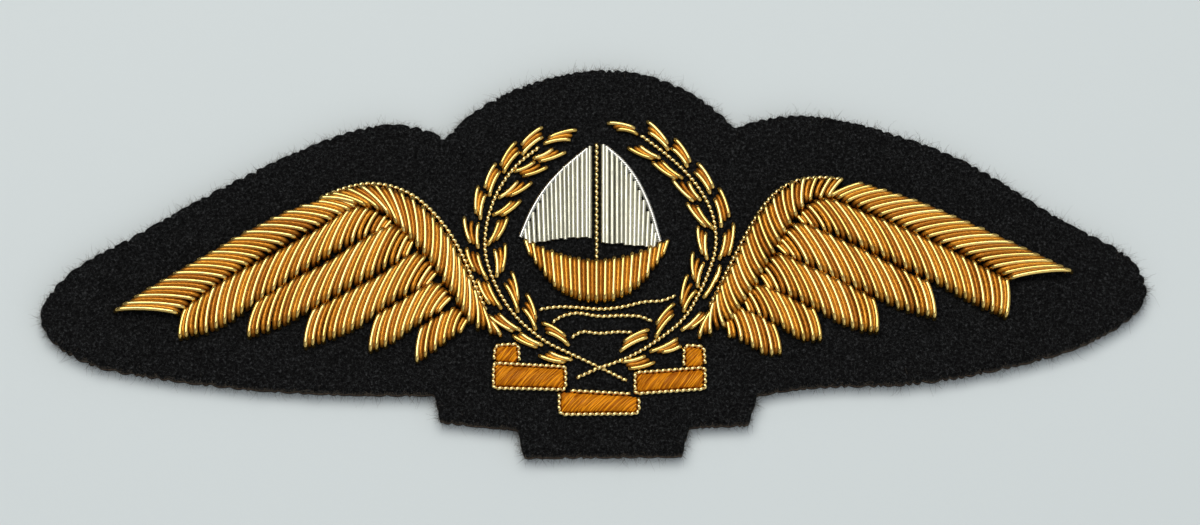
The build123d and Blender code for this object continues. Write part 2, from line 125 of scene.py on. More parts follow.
def object_coordinates(tree):
    return tree.nodes.new("ShaderNodeTexCoord").outputs["Object"]


def noise(tree, scale, detail=3.0, roughness=0.6):
    """Noise over the object, in features per metre."""
    node = tree.nodes.new("ShaderNodeTexNoise")
    node.inputs["Scale"].default_value = scale
    node.inputs["Detail"].default_value = detail
    node.inputs["Roughness"].default_value = roughness
    tree.links.new(object_coordinates(tree), node.inputs["Vector"])
    return node.outputs["Fac"]


def ramp(tree, shader, factor, stops):
    """Colours the shader by factor, through a ramp of (position, colour) stops."""
    node = tree.nodes.new("ShaderNodeValToRGB")
    elements = node.color_ramp.elements
    for index, (position, color) in enumerate(stops):
        element = elements[index] if index < 2 else elements.new(position)
        element.position = position
        element.color = (*color, 1.0)
    tree.links.new(factor, node.inputs["Fac"])
    tree.links.new(node.outputs["Color"], shader.inputs["Base Color"])


def bump(tree, shader, height, distance, strength=1.0):
    node = tree.nodes.new("ShaderNodeBump")
    node.inputs["Distance"].default_value = distance
    node.inputs["Strength"].default_value = strength
    tree.links.new(height, node.inputs["Height"])
    tree.links.new(node.outputs["Normal"], shader.inputs["Normal"])


def toned(tree, shader, dark, light):
    """Colours the shader by the tone that a piece stores at its vertices."""
    node = tree.nodes.new("ShaderNodeAttribute")
    node.attribute_name = "tone"
    ramp(tree, shader, node.outputs["Fac"], [(0.0, dark), (1.0, light)])


def varied(tree, shader, name, factor, low, high):
    """A shader value that wanders between low and high."""
    span = tree.nodes.new("ShaderNodeMapRange")
    span.inputs["From Min"].default_value = 0.3
    span.inputs["From Max"].default_value = 0.7
    span.inputs["To Min"].default_value = low
    span.inputs["To Max"].default_value = high
    tree.links.new(factor, span.inputs["Value"])
    tree.links.new(span.outputs["Result"], shader.inputs[name])


def metal(name, dark, light, roughness, metallic):
    """Wire that takes its colour from the tone of each chip or bead, its gloss worn here and there."""
    made, tree, shader = material(name, light, roughness, metallic)
    toned(tree, shader, dark, light)
    varied(tree, shader, "Roughness", noise(tree, 900, 3.0), 0.75 * roughness, 1.5 * roughness)
    return made


# Smooth purl's tone mixes each chip's own random shade with a painted highlight on its upper side.
GOLD_SMOOTH = metal("gold_smooth_purl", (0.45, 0.26, 0.040), (0.87, 0.62, 0.205), 0.12, 0.97)
# Check purl is the same gold as smooth purl, painted darker and more orange: painted shade and painted
# reflection between its facets.
GOLD_CHECK = metal("gold_check_purl", (0.33, 0.112, 0.008), (0.57, 0.235, 0.020), 0.34, 0.82)
# Pearl purl's dark colour is painted shade in the necks between beads, its light colour a painted highlight on
# their middles.
GOLD_PEARL = metal("gold_pearl_purl", (0.42, 0.22, 0.04), (1.0, 0.78, 0.32), 0.17, 1.0)
SILVER_PURL = metal("silver_purl", (0.26, 0.255, 0.20), (0.70, 0.675, 0.55), 0.31, 0.90)
# The twist's dark colour is painted shade in the grooves between its strands.
SILVER_TWIST = metal("silver_twist", (0.22, 0.215, 0.19), (0.90, 0.88, 0.82), 0.18, 1.0)


def silk():
    """Glossy silk, each thread its own shade, with an orange shine."""
    made, tree, shader = material("satin_silk", (0.60, 0.20, 0.015), 0.27, specular=0.9)
    shader.inputs["Specular Tint"].default_value = (1.0, 0.50, 0.11, 1.0)
    toned(tree, shader, (0.33, 0.075, 0.001), (1.0, 0.37, 0.008))
    return made


def black_wool():
    """Matt felt: black between the fibres, dark grey on them."""
    made, tree, shader = material("black_felt", (0.006, 0.006, 0.006), 1.0, sheen=0.01, specular=0.04)
    grain = noise(tree, 2600, 6.0, 0.85)
    ramp(tree, shader, grain, [
        (0.40, (0.0008, 0.0008, 0.0009)),
        (0.55, (0.011, 0.011, 0.0109)),
        (0.68, (0.088, 0.09, 0.092))])
    bump(tree, shader, grain, 0.0004)
    return made


def fibre_material(name, dark, light):
    """Loose wool, each hair its own shade."""
    made, tree, shader = material(name, dark, 0.8, specular=0.1)
    toned(tree, shader, dark, light)
    return made


def yellow_felt():
    """Craft felt, mottled and matt."""
    made, tree, shader = material("yellow_padding_felt", (0.60, 0.34, 0.06), 0.95, sheen=0.3, specular=0.1)
    grain = noise(tree, 3500, 4.0)
    ramp(tree, shader, grain, [(0.3, (0.42, 0.21, 0.03)), (0.7, (0.68, 0.40, 0.08))])
    bump(tree, shader, grain, 0.0001)
    return made


WAVE_PHASE = 20  # radians that a wave texture of scale 1 runs through in a metre


def woven(name, warp, weft, threads_per_metre, depth):
    """Plain-weave cloth: two crossing sets of threads."""
    made, tree, shader = material(name, warp, 0.92, specular=0.15)
    waves = []
    for axis in ("X", "Y"):
        wave = tree.nodes.new("ShaderNodeTexWave")
        wave.bands_direction = axis
        wave.inputs["Scale"].default_value = threads_per_metre * 2 * math.pi / WAVE_PHASE
        wave.inputs["Distortion"].default_value = 0.4
        tree.links.new(object_coordinates(tree), wave.inputs["Vector"])
        waves.append(wave.outputs["Fac"])
    product = tree.nodes.new("ShaderNodeMath")
    product.operation = "MULTIPLY"
    tree.links.new(waves[0], product.inputs[0])
    tree.links.new(waves[1], product.inputs[1])
    ramp(tree, shader, product.outputs[0], [(0.0, weft), (1.0, warp)])
    bump(tree, shader, product.outputs[0], depth)
    return made


SATIN_SILK = silk()
FELT = black_wool()
FUZZ = fibre_material("black_wool_fibre", (0.008, 0.008, 0.008), (0.046, 0.047, 0.049))
EDGE_FUZZ = fibre_material("wool_edge_fibre", (0.03, 0.025, 0.02), (0.14, 0.115, 0.09))
PADDING = yellow_felt()
BUCKRAM = woven("brown_buckram", (0.16, 0.11, 0.07), (0.07, 0.045, 0.03), 1200, 0.00015)
BACKING = woven("black_cotton", (0.030, 0.030, 0.033), (0.008, 0.008, 0.009), 1500, 0.00010)


def pale_floor(reach, height):
    """A square, faintly rough table top."""
    made, tree, shader = material("pale_floor", (0.655, 0.695, 0.695), 0.85, specular=0.2)
    bump(tree, shader, noise(tree, 500, 5.0), 0.00006, 0.5)
    mesh = bpy.data.meshes.new("floor")
    places = [(x * reach, y * reach, height) for x, y in ((-1, -1), (1, -1), (1, 1), (-1, 1))]
    mesh.from_pydata(places, [], [(0, 1, 2, 3)])
    mesh.materials.append(made)
    obj = bpy.data.objects.new("floor", mesh)
    bpy.context.scene.collection.objects.link(obj)
    return obj


floor = pale_floor(1.5, -0.0001)


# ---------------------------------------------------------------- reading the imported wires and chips

def unit(v):
    return v / np.maximum(np.linalg.norm(v, axis=-1, keepdims=True), 1e-12)


def islands(node):
    """The separate surfaces of a CAD node: vertices, triangles and vertex normals of each."""
    mesh = NODES[node].data
    co = np.empty(len(mesh.vertices) * 3, np.float32)
    mesh.vertices.foreach_get("co", co)
    co = co.reshape(-1, 3).astype(float)
    corners = np.empty(len(mesh.loops), np.int32)
    mesh.loops.foreach_get("vertex_index", corners)
    corner_normals = np.empty(len(mesh.loops) * 3, np.float32)
    mesh.corner_normals.foreach_get("vector", corner_normals)
    normals = np.zeros_like(co)
    np.add.at(normals, corners, corner_normals.reshape(-1, 3))
    normals = unit(normals)
    tri = corners.reshape(-1, 3)
    low, high = tri.min(1), tri.max(1)
    step = np.bincount(low, minlength=len(co)) - np.bincount(high, minlength=len(co))
    breaks = np.concatenate([[0], np.flatnonzero(np.cumsum(step) == 0) + 1])
    owner = np.searchsorted(breaks, low, side="right") - 1
    order = np.argsort(owner, kind="stable")
    tri, owner = tri[order], owner[order]
    edges = np.searchsorted(owner, np.arange(len(breaks) + 1))
    return [
        (co[first:breaks[i + 1]], tri[edges[i]:edges[i + 1]] - first, normals[first:breaks[i + 1]])
        for i, first in enumerate(breaks[:-1])]


CAP_POINTS = 42  # points round the flat end of a packed wire
RING = CAP_POINTS + 1  # points of a ring round its side, which has a seam


def as_cap(points, faces):
    """Centre, outward normal and radius, if this surface is the flat end of a wire."""
    if len(points) != CAP_POINTS or len(faces) != CAP_POINTS - 2:
        return None
    centre = points.mean(0)
    radius = np.linalg.norm(points - centre, axis=1)
    if radius.max() - radius.min() > 0.02 * MM:
        return None
    a, b, c = points[faces[:, 0]], points[faces[:, 1]], points[faces[:, 2]]
    return centre, unit(np.cross(b - a, c - a).sum(0)), radius.mean()


def caps(surfaces):
    return [cap for cap in (as_cap(points, faces) for points, faces, _ in surfaces) if cap]


def chips(node):
    """Each cut chip of a node as (start, end, start tangent, radius)."""
    ends = caps(islands(node))
    return [(a[0], b[0], -a[1], a[2]) for a, b in zip(ends[0::2], ends[1::2])]


def arc(start, end, tangent, step, overhang, flatness):
    """Points, tangents and side vectors of a chip that leaves start along tangent and ends at end.
    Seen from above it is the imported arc. Seen from the side it may lie flatter and turn down at its ends."""
    chord = end - start
    length = np.linalg.norm(chord)
    e1 = chord / length
    across = tangent - (tangent @ e1) * e1
    if np.linalg.norm(across) < 1e-3:
        across = np.array([0.0, 0.0, 1.0]) - e1[2] * e1
        half = 1e-4
    else:
        half = math.atan2(np.linalg.norm(across), tangent @ e1)
    e2 = unit(across)
    radius = length / (2 * math.sin(half))
    n = max(3, int(round(2 * half * radius / step)) + 1)
    turn = half - 2 * half * np.linspace(0, 1, n)
    rise = radius * (1 - math.cos(half))
    share = (np.cos(turn) - math.cos(half)) / (1 - math.cos(half))
    flatter = 1 - (1 - share) ** flatness
    along = (length + 2 * overhang) / 2 * (1 - np.sin(turn) / math.sin(half)) - overhang
    points = start + along[:, None] * e1 + rise * share[:, None] * (e2 * [1, 1, 0])
    points[:, 2] += rise * flatter * e2[2]
    tangents = unit(np.gradient(points, axis=0))
    return points, tangents, unit(np.cross(np.cross(e1, e2), tangents))


def centreline(points, normals, radius):
    """The centreline of one swept surface: each ring of it lies a radius away, along its normals."""
    centres = points - radius * normals
    first = centres[np.argmax(np.linalg.norm(centres - centres[0], axis=1))]
    last = centres[np.argmax(np.linalg.norm(centres - first, axis=1))]
    order = np.argsort((centres - first) @ (last - first))
    return centres[order].reshape(-1, RING, 3).mean(1)


JOIN_GAP = 0.10 * MM  # ends of wire nearer than this belong together


def grown(line, segments):
    """The line with a segment that meets one of its ends, and the segments that are left. None for the line
    when no segment meets it."""
    for i, segment in enumerate(segments):
        left = segments[:i] + segments[i + 1:]
        for piece in (segment, segment[::-1]):
            if np.linalg.norm(line[-1] - piece[0]) < JOIN_GAP:
                return np.concatenate([line, piece[1:]]), left
            if np.linalg.norm(line[0] - piece[-1]) < JOIN_GAP:
                return np.concatenate([piece[:-1], line]), left
    return None, segments


def wires(node):
    """The laid wires of a node as (centreline, closed, radius)."""
    surfaces = islands(node)
    radius = caps(surfaces)[0][2]
    segments = [
        centreline(points, normals, radius) for points, _, normals in surfaces
        if len(points) >= 2 * RING and len(points) % RING == 0]
    found = []
    while segments:
        longer, segments = segments[0], segments[1:]
        while longer is not None:
            line = longer
            longer, segments = grown(line, segments)
        found.append((line, np.linalg.norm(line[0] - line[-1]) < JOIN_GAP, radius))
    return found


def resample(line, step):
    """Evenly spaced points, about step apart, along a polyline."""
    gaps = np.linalg.norm(np.diff(line, axis=0), axis=1)
    keep = np.concatenate([[True], gaps > 1e-7])
    line = line[keep]
    along = np.concatenate([[0], np.cumsum(np.linalg.norm(np.diff(line, axis=0), axis=1))])
    count = max(4, int(round(along[-1] / step)) + 1)
    s = np.linspace(0, along[-1], count)
    return np.stack([np.interp(s, along, line[:, k]) for k in range(3)], axis=1), s


def carried_frames(points, closed):
    """Tangents and side vectors that turn as little as they can along a line."""
    if closed:
        tangents = unit(np.roll(points[:-1], -1, axis=0) - np.roll(points[:-1], 1, axis=0))
        tangents = np.concatenate([tangents, tangents[:1]])
    else:
        tangents = unit(np.gradient(points, axis=0))
    side = np.cross(tangents[0], [0.0, 0.0, 1.0])
    if np.linalg.norm(side) < 0.1:
        side = np.cross(tangents[0], [1.0, 0.0, 0.0])
    normals = [unit(side)]
    for t in tangents[1:]:
        n = normals[-1] - (normals[-1] @ t) * t
        normals.append(unit(n))
    return tangents, np.array(normals)


# ---------------------------------------------------------------- building meshes

class Builder:
    """Gathers the surfaces of one piece."""

    def __init__(self):
        self.vertices, self.faces, self.tones, self.materials, self.count = [], [], [], [], 0

    def add(self, points, faces, tone=0.5, material_index=0):
        self.vertices.append(points)
        self.faces.extend((np.asarray(f) + self.count).tolist() for f in faces)
        self.tones.append(np.broadcast_to(np.float32(tone), len(points)))
        self.materials.extend([material_index] * sum(len(f) if np.ndim(f) == 2 else 1 for f in faces))
        self.count += len(points)

    def build(self, name, materials):
        polygons = []
        for f in self.faces:
            if f and isinstance(f[0], list):
                polygons.extend(f)
            else:
                polygons.append(f)
        mesh = bpy.data.meshes.new(name)
        points = np.concatenate(self.vertices)
        mesh.from_pydata(points.tolist(), [], polygons)
        for m in materials:
            mesh.materials.append(m)
        mesh.polygons.foreach_set("material_index", np.array(self.materials, np.int32))
        mesh.polygons.foreach_set("use_smooth", np.full(len(polygons), True))
        tone = mesh.attributes.new("tone", "FLOAT", "POINT")
        tone.data.foreach_set("value", np.concatenate(self.tones))
        mesh.update()
        obj = bpy.data.objects.new(name, mesh)
        bpy.context.scene.collection.objects.link(obj)
        return obj


def skin(rings, closed):
    """Quads between successive rings, numbered along and then round."""
    along, around = rings.shape[:2]
    index = np.arange(along * around).reshape(along, around)
    a = index if closed else index[:-1]
    b = np.roll(index, -1, axis=0) if closed else index[1:]
    return np.stack([a, np.roll(a, -1, axis=1), np.roll(b, -1, axis=1), b], axis=-1).reshape(-1, 4)


def sweep(builder, points, tangents, normals, reach, tone, material_index=0, closed=False, hollow=0.0):
    """A tube whose surface lies at reach, given ring by ring and direction by direction.
    An open tube's ends are flat, or recessed where the wire is a hollow coil."""
    sides = reach.shape[1]
    angle = np.linspace(0, 2 * math.pi, sides, endpoint=False)
    cosine, sine = np.cos(angle)[None, :, None], np.sin(angle)[None, :, None]
    around = cosine * normals[:, None] + sine * np.cross(tangents, normals)[:, None]
    rings = points[:, None] + reach[..., None] * around
    if hollow and not closed:
        depth = 0.8 * hollow * reach[0].mean()
        lip_a = points[0] + hollow * reach[0][:, None] * around[0]
        lip_b = points[-1] + hollow * reach[-1][:, None] * around[-1]
        rings = np.concatenate([
            (lip_a + depth * tangents[0])[None], lip_a[None], rings,
            lip_b[None], (lip_b - depth * tangents[-1])[None]])
    faces = [skin(rings, closed)]
    if not closed:
        last = (len(rings) - 1) * sides
        faces.append(np.arange(sides)[::-1])
        faces.append(np.arange(last, last + sides))
    builder.add(rings.reshape(-1, 3), faces, tone, material_index)


# ---------------------------------------------------------------- cut purl

COIL_PITCH = 0.13 * MM
CHECK_PITCH = 0.15 * MM
CHECK_TURN = 2.4 * MM  # the length in which a flat of check purl comes round once
COIL_RINGS, CHECK_RINGS = 4, 3  # rings of points to a turn of the coil
CHIP_SIDES = 12
CHIP_HOLLOW = 0.5  # the bore of a coil, beside its outside


def smooth_chip(builder, chip, tone, close, overhang, flatness):
    """A close coil of fine wire, painted lighter on its upper side as a painted highlight and painted dark
    inside its hollow ends as painted shade.
    """
    start, end, tangent, radius = chip
    points, tangents, normals = arc(start, end, tangent, COIL_PITCH / COIL_RINGS, overhang, flatness)
    turn = np.arange(len(points))[:, None] / COIL_RINGS + np.linspace(0, 1, CHIP_SIDES, endpoint=False)[None]
    reach = close * radius * (1 - 0.025 * (0.5 - 0.5 * np.cos(2 * math.pi * turn)))
    angle = np.linspace(0, 2 * math.pi, CHIP_SIDES, endpoint=False)
    upward = np.cos(angle)[None] * normals[:, 2:] + np.sin(angle)[None] * np.cross(tangents, normals)[:, 2:]
    # Painted light: half the chip's random tone, half a painted highlight where the coil faces up; the rings
    # inside the hollow ends get 0, a painted shade.
    tone_with_painted_light = np.pad(0.5 * tone + 0.5 * np.clip(upward, 0, 1) ** 3, ((2, 2), (0, 0)))
    sweep(builder, points, tangents, normals, reach, tone_with_painted_light.ravel(), 0, hollow=CHIP_HOLLOW)


def check_chip(builder, chip, tone, phase, close, overhang, flatness):
    """A coil wound on a three-cornered rod, so that its flats turn along the chip."""
    start, end, tangent, radius = chip
    points, tangents, normals = arc(start, end, tangent, CHECK_PITCH / CHECK_RINGS, overhang, flatness)
    along = np.arange(len(points)) * CHECK_PITCH / CHECK_RINGS
    angle = np.linspace(0, 2 * math.pi, CHIP_SIDES, endpoint=False)
    corner = angle[None] + 2 * math.pi * (along[:, None] / CHECK_TURN + phase)
    flat = 1 - 0.08 * (0.5 - 0.5 * np.cos(3 * corner))
    ribs = 1 - 0.05 * (0.5 - 0.5 * np.cos(2 * math.pi * (along / CHECK_PITCH)))
    reach = close * radius * flat * ribs[:, None]
    sweep(builder, points, tangents, normals, reach, tone, 1, hollow=CHIP_HOLLOW)


def purl_piece(node, seed, materials, smooth_over, close, overhang, flatness):
    """A strip of cut purl. A chip is smooth if its packed radius is over smooth_over, and else check purl.
    All are swollen by close until they press together, and the smooth ones are cut a little longer."""
    rng = np.random.default_rng(seed)
    builder = Builder()
    for chip in chips(node):
        tone = rng.random()
        if chip[3] > smooth_over:
            smooth_chip(builder, chip, tone, close, overhang * rng.uniform(1.1, 1.8), flatness)
        else:
            check_chip(builder, chip, tone, rng.random(), close, overhang * rng.uniform(-0.4, 0.5), flatness)
    return builder.build(node + "_coils", materials)


# ---------------------------------------------------------------- laid wires

BEAD_RINGS, BEAD_SIDES, TWIST_SIDES = 12, 12, 15  # rings to a bead or a twist, and points to a ring


def lay(builder, points, tangents, normals, reach, tone, closed):
    """Sweeps a laid wire. A closed one ends where it starts, so its last ring is left out."""
    used = slice(None, -1) if closed else slice(None)
    points, tangents, normals, reach, tone = (a[used] for a in (points, tangents, normals, reach, tone))
    sweep(builder, points, tangents, normals, reach, tone.ravel(), closed=closed)


def pearl_wire(builder, line, closed, radius, pitch, swelling):
    """Beaded wire: a coarse coil, each turn a rounded bead, painted dark in the necks between beads as painted
    shade and lighter on each bead's full middle as a painted highlight.
    """
    points, s = resample(line, pitch / BEAD_RINGS)
    turns = max(1, int(round(s[-1] / pitch)))
    tangents, normals = carried_frames(points, closed)
    share = np.linspace(0, 1, BEAD_SIDES, endpoint=False)
    turn = turns * (s / s[-1])[:, None] + 0.35 * np.cos(2 * math.pi * share)[None] * 0.5
    fullness = np.sqrt(np.clip(1 - (2 * (turn % 1.0) - 1) ** 2, 0, 1))
    reach = swelling * radius * np.maximum(0.58, fullness)
    # Painted shade in the thin necks between beads, a painted highlight where each bead is fullest.
    tone = np.clip(1.6 * fullness - 0.6, 0, 1) ** 1.2
    lay(builder, points, tangents, normals, reach, tone, closed)


def twisted_wire(builder, line, closed, radius, pitch, swelling):
    """Three strands twisted together."""
    points, s = resample(line, pitch / BEAD_RINGS)
    turns = s[-1] / pitch
    tangents, normals = carried_frames(points, closed)
    angle = np.linspace(0, 2 * math.pi, TWIST_SIDES, endpoint=False)
    phase = angle[None] + 2 * math.pi * turns * (s / s[-1])[:, None]
    crest = np.abs(np.cos(1.5 * phase)) ** 0.7
    reach = swelling * radius * (0.66 + 0.34 * crest)
    # Painted shade in the grooves between strands, a painted highlight on their crests.
    lay(builder, points, tangents, normals, reach, crest ** 2, closed)


def wire_piece(node, wire, pitch, swelling, materials):
    builder = Builder()
    for line, closed, radius in wires(node):
        wire(builder, line, closed, radius, pitch, swelling)
    return builder.build(node + "_wire", materials)


# ---------------------------------------------------------------- cloth

FELT_TOP, FELT_FOOT, BUCKRAM_FOOT = 2.4 * MM, 0.8 * MM, 0.4 * MM
# Each cloth's cut edge, as (height, inset) from the top down
FELT_EDGE = [
    (FELT_TOP - 0.02 * MM, 0.26 * MM), (FELT_TOP - 0.07 * MM, 0.12 * MM), (FELT_TOP - 0.18 * MM, 0.03 * MM),
    (FELT_TOP - 0.45 * MM, 0.0), (FELT_TOP - 0.85 * MM, 0.04 * MM), (FELT_TOP - 1.25 * MM, 0.0),
    (FELT_TOP - 1.50 * MM, 0.04 * MM), (FELT_FOOT, 0.10 * MM)]
BUCKRAM_EDGE = [
    (FELT_FOOT, 0.10 * MM), (FELT_FOOT - 0.08 * MM, 0.02 * MM),
    (BUCKRAM_FOOT + 0.08 * MM, 0.02 * MM), (BUCKRAM_FOOT, 0.10 * MM)]
BACKING_EDGE = [
    (BUCKRAM_FOOT, 0.06 * MM), (BUCKRAM_FOOT - 0.10 * MM, 0.0), (0.10 * MM, 0.0), (0.0, 0.06 * MM)]
STEPS_TOP = -17.0 * MM  # below this lie the straight steps at the foot of the badge


def top_loop(node):
    """The outline of a cloth layer, anticlockwise, from its upper face."""
    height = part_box(node)[1].z
    points, faces, _ = next(s for s in islands(node) if s[0][:, 2].min() > height - 1e-6)
    edges = np.concatenate([faces[:, [0, 1]], faces[:, [1, 2]], faces[:, [2, 0]]])
    known = {tuple(e) for e in edges.tolist()}
    following = {a: b for a, b in known if (b, a) not in known}
    order = [next(iter(following))]
    while len(order) < len(following):
        order.append(following[order[-1]])
    loop = points[order][:, :2]
    x, y = loop.T
    area = 0.5 * (x @ np.roll(y, -1) - y @ np.roll(x, -1))
    return loop if area > 0 else loop[::-1]


def even_loop(loop, step):
    """The loop again, in nearly equal steps."""
    closed = np.concatenate([loop, loop[:1]])
    along = np.concatenate([[0], np.cumsum(np.linalg.norm(np.diff(closed, axis=0), axis=1))])
    s = np.linspace(0, along[-1], int(along[-1] / step) + 1)[:-1]
    return np.stack([np.interp(s, along, closed[:, k]) for k in (0, 1)], axis=1), s


def outward(loop):
    edge = np.roll(loop, -1, axis=0) - np.roll(loop, 1, axis=0)
    return unit(np.stack([edge[:, 1], -edge[:, 0]], axis=1))


def inside(points, loop):
    """Which points lie inside a closed loop."""
    ax, ay = loop.T
    bx, by = np.roll(loop, -1, axis=0).T
    within = np.zeros(len(points), bool)
    for first in range(0, len(points), 2000):
        px, py = points[first:first + 2000, 0, None], points[first:first + 2000, 1, None]
        crosses = (ay > py) != (by > py)
        at = ax + (py - ay) * (bx - ax) / np.where(by == ay, 1e-12, by - ay)
        within[first:first + 2000] = (crosses & (px < at)).sum(1) % 2 == 1
    return within


def scattered(loop, spacing, margin, rng):
    """Jittered grid points inside a loop, clear of its edge."""
    low, high = loop.min(0), loop.max(0)
    x, y = np.meshgrid(np.arange(low[0], high[0], spacing), np.arange(low[1], high[1], spacing))
    points = np.stack([x.ravel(), y.ravel()], axis=1)
    points += rng.uniform(-0.3, 0.3, points.shape) * spacing
    points = points[inside(points, loop)]
    clear = np.ones(len(points), bool)
    for first in range(0, len(points), 2000):
        gap = points[first:first + 2000, None] - loop[None]
        clear[first:first + 2000] = (gap ** 2).sum(2).min(1) > margin ** 2
    return points[clear]


def swell(points, rng, height):
    """A gentle unevenness of a cloth face."""
    z = np.zeros(len(points))
    for wavelength, share in ((14 * MM, 0.5), (6 * MM, 0.3), (2.2 * MM, 0.2)):
        for _ in range(3):
            angle, phase = rng.uniform(0, 2 * math.pi, 2)
            direction = np.array([math.cos(angle), math.sin(angle)]) * 2 * math.pi / wavelength
            z += share / 3 * np.sin(points @ direction + phase)
    return z * height


def cloth(name, loop, profile, spacing, unevenness, materials, seed):
    """A closed layer of cloth. The profile lists (height, inset) down its cut edge, spacing is that of the
    points on its two faces, and unevenness is how far its upper face swells."""
    rng = np.random.default_rng(seed)
    away = outward(loop)
    rings = [np.column_stack([loop - inset * away, np.full(len(loop), z)]) for z, inset in profile]
    builder = Builder()
    count = len(loop)
    index = np.arange(len(rings) * count).reshape(len(rings), count)
    quads = np.stack([
        index[:-1], index[1:], np.roll(index[1:], -1, axis=1), np.roll(index[:-1], -1, axis=1)], axis=-1)
    points, faces, used = [np.concatenate(rings)], [quads.reshape(-1, 4)], len(rings) * count
    for ring, level, up in ((0, profile[0][0], True), (len(rings) - 1, profile[-1][0], False)):
        outline = rings[ring][:, :2]
        interior = scattered(outline, spacing, 0.55 * spacing, rng)
        flat = np.concatenate([outline, interior])
        border = [(i, (i + 1) % count) for i in range(count)]
        made_flat, _, triangles, source, _, _ = delaunay_2d_cdt(
            [Vector(p) for p in flat / MM], border, [], 1, 1e-6)
        number = np.empty(len(made_flat), int)
        extra = []
        for i, origins in enumerate(source):
            on_edge = origins and min(origins) < count
            number[i] = index[ring, min(origins)] if on_edge else used + len(extra)
            if not on_edge:
                extra.append((made_flat[i].x * MM, made_flat[i].y * MM))
        extra = np.array(extra)
        z = level + (swell(extra, rng, unevenness) if up else np.zeros(len(extra)))
        points.append(np.column_stack([extra, z]))
        used += len(extra)
        wound = number[np.array([list(t) for t in triangles if len(t) == 3])]
        faces.append(wound if up else wound[:, ::-1])
    builder.add(np.concatenate(points), faces)
    return builder.build(name, materials)


def snipped(loop, along, rng):
    """The outline as scissors left it: shallow bulges between snips, flatter on the straight steps."""
    offset = np.zeros(len(loop))
    start = 0.0
    while start < along[-1]:
        end = start + (0.6 + 2.2 * rng.random() ** 1.4) * MM
        depth = rng.uniform(0.08, 0.50) * MM
        part = (along >= start) & (along < end)
        offset[part] = depth * np.abs(2 * (along[part] - start) / (end - start) - 1) ** 1.7
        start = end
    offset *= np.where(loop[:, 1] < STEPS_TOP, 0.6, 1.0)
    return loop - offset[:, None] * outward(loop)


FACE_FIBRES = 9900  # on each half of the face
EDGE_FIBRES = 9500
FIBRE_RINGS, FIBRE_SIDES = 4, 3


def fibres(name, roots, headings, lengths, radius, heights, wool, rng, curl):
    """Fine curling hairs, three-sided, of three lengths each, closed at both ends, between two heights."""
    count = len(roots)
    headings = unit(headings)
    side = unit(np.cross(headings, unit(rng.normal(size=(count, 3)))))
    other = np.cross(headings, side)
    bend = curl * rng.normal(size=(count, 2))
    t = np.linspace(0, 1, FIBRE_RINGS)
    line = (
        roots[:, None]
        + lengths[:, None, None] * (
            t[None, :, None] * headings[:, None]
            + (bend[:, 0:1] * t ** 2)[..., None] * side[:, None]
            + (bend[:, 1:2] * t ** 3)[..., None] * other[:, None]))
    line[..., 2] = np.clip(line[..., 2], *heights)
    angle = np.linspace(0, 2 * math.pi, FIBRE_SIDES, endpoint=False)
    around = np.cos(angle)[None, :, None] * side[:, None] + np.sin(angle)[None, :, None] * other[:, None]
    thin = np.array([1.0, 1.0, 0.8, 0.45])
    rings = line[:, :, None] + radius * thin[None, :, None, None] * around[:, None]
    corner = np.arange(FIBRE_RINGS * FIBRE_SIDES).reshape(FIBRE_RINGS, FIBRE_SIDES)
    low, high = corner[:-1], corner[1:]
    quads = np.stack([low, np.roll(low, -1, axis=1), np.roll(high, -1, axis=1), high], axis=-1)
    ends = np.array([corner[0, ::-1], corner[-1]])
    start = corner.size * np.arange(count)[:, None, None]
    builder = Builder()
    builder.add(
        rings.reshape(-1, 3),
        [(quads.reshape(1, -1, 4) + start).reshape(-1, 4), (ends[None] + start).reshape(-1, 3)],
        np.repeat(rng.random(count), corner.size))
    return builder.build(name, [wool])


def face_fuzz(name, edge, low_x, high_x, rng):
    """Loose wool lying on one half of the felt's face."""
    places = rng.uniform(edge.min(0), edge.max(0), (4 * FACE_FIBRES, 2))
    places = places[(places[:, 0] > low_x) & (places[:, 0] < high_x)]
    places = places[inside(places, edge - 0.3 * MM * outward(edge))][:FACE_FIBRES]
    count = len(places)
    heading = rng.uniform(0, 2 * math.pi, count)
    rise = np.abs(rng.normal(0, 0.10, count))
    roots = np.column_stack([places, FELT_TOP + rng.uniform(-0.01, 0.03, count) * MM])
    lean = np.column_stack([np.cos(heading), np.sin(heading), rise])
    lengths = rng.uniform(0.4, 1.5, count) * MM
    heights = (FELT_TOP - 0.03 * MM, FELT_TOP + 0.25 * MM)
    return fibres(name, roots, lean, lengths, 0.013 * MM, heights, FUZZ, rng, 0.35)


def edge_fuzz(name, edge, rng):
    """Loose wool standing out of the felt's cut edge."""
    where = rng.integers(0, len(edge), EDGE_FIBRES)
    away = outward(edge)[where]
    roots = np.column_stack([edge[where] - 0.1 * MM * away, rng.uniform(FELT_FOOT, FELT_TOP, EDGE_FIBRES)])
    scatter = 0.75 * rng.normal(size=(EDGE_FIBRES, 3)) * [1, 1, 0.45]
    lean = np.column_stack([away, np.full(EDGE_FIBRES, 0.05)]) + scatter
    lengths = np.minimum(0.35 + rng.exponential(0.32, EDGE_FIBRES), 1.9) * MM
    heights = (0.03 * MM, FELT_TOP + 0.15 * MM)
    return fibres(name, roots, lean, lengths, 0.014 * MM, heights, EDGE_FUZZ, rng, 0.5)


# ---------------------------------------------------------------- silk blocks

THREAD_PITCH = 0.16 * MM
THREAD_ANGLE = math.radians(48)
THREAD_RADIUS = (0.06, 0.11)  # least and most, in mm
SILK_HEIGHT = 0.95 * MM
SILK_OVER = 0.12 * MM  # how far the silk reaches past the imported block
SHORTEST_THREAD = 0.12  # beside the block's width


